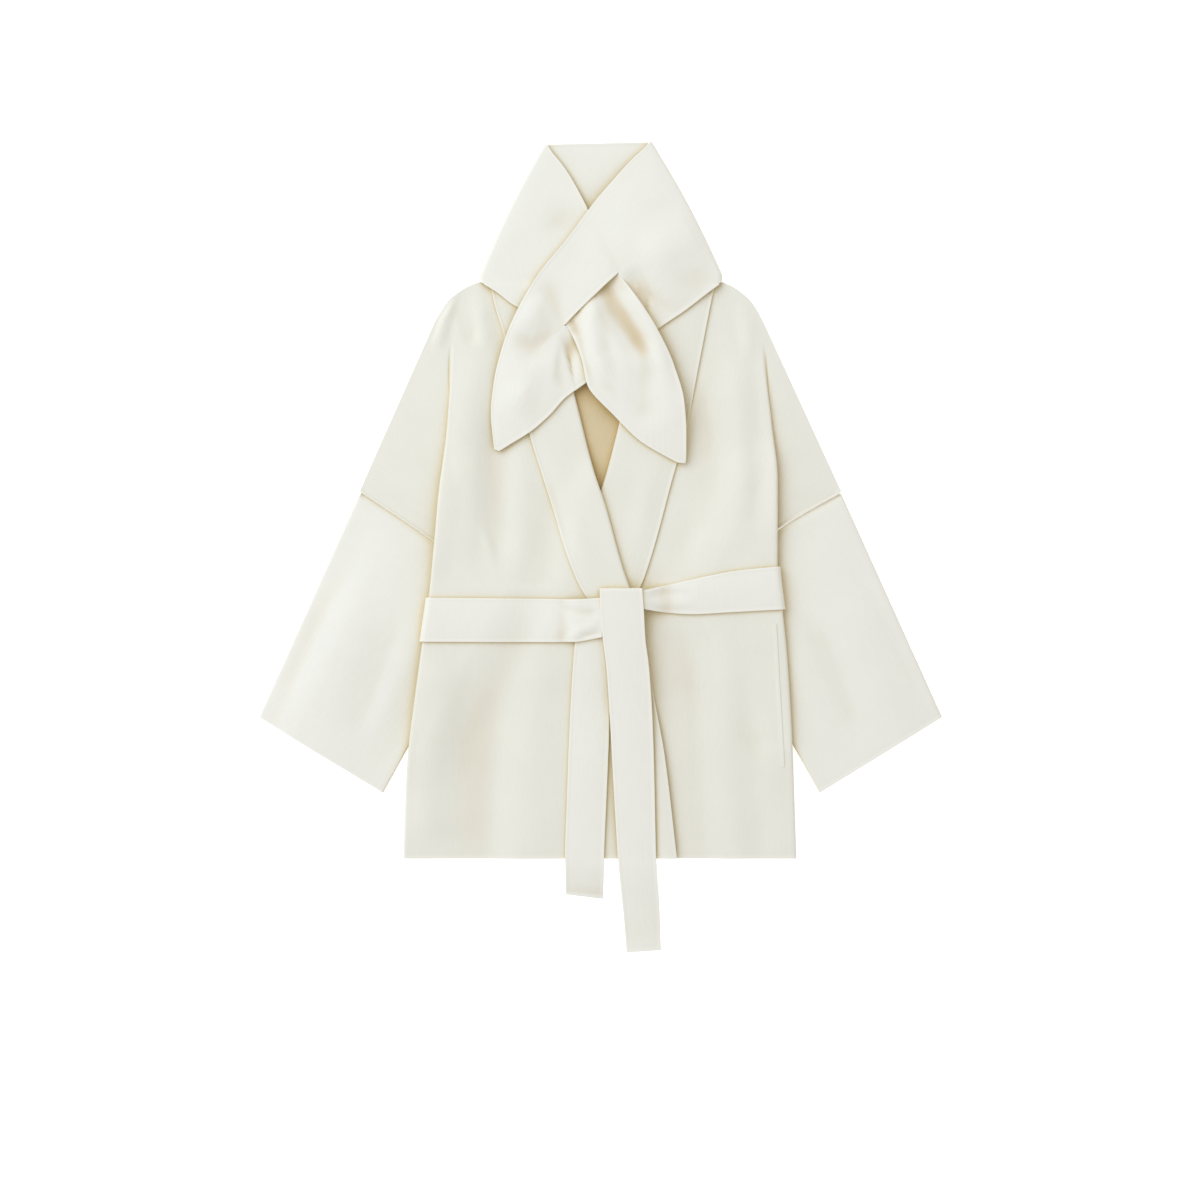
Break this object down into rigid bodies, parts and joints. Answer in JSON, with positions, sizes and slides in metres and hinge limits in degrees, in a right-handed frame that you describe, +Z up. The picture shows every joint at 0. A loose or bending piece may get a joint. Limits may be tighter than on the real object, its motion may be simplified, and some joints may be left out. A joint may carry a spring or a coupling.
{
  "type": "robe coat",
  "caption": "Short wrap robe coat in cream double-faced wool laid flat, with wide dropped sleeves, shawl lapels, a knotted keyhole scarf collar and a tie belt",
  "frame": {"origin": "middle of the bounding box in plan, on the surface the coat lies on", "axes": "X to the right as the picture shows it, Y towards the collar, Z up out of the front of the coat"},
  "size_m": [0.8904, 1.0561, 0.0298],
  "materials": {
    "coat_wool": "cream brushed double-faced wool, soft matt nap",
    "scarf_wool": "cream brushed double-faced wool, soft matt nap",
    "belt_wool": "cream brushed double-faced wool, soft matt nap"
  },
  "bodies": {
    "root": {"back": "coat_wool", "front_left": "coat_wool", "front_right": "coat_wool", "sleeve_left": "coat_wool", "sleeve_right": "coat_wool", "lapel_left": "coat_wool", "lapel_right": "coat_wool", "scarf_back": "scarf_wool", "scarf_left": "scarf_wool", "scarf_right": "scarf_wool", "belt_back": "belt_wool", "belt_left": "belt_wool", "belt_right": "belt_wool", "belt_tail_long": "belt_wool", "belt_tail_short": "belt_wool", "pocket_welt_right": "coat_wool"}
  },
  "joints": []
}
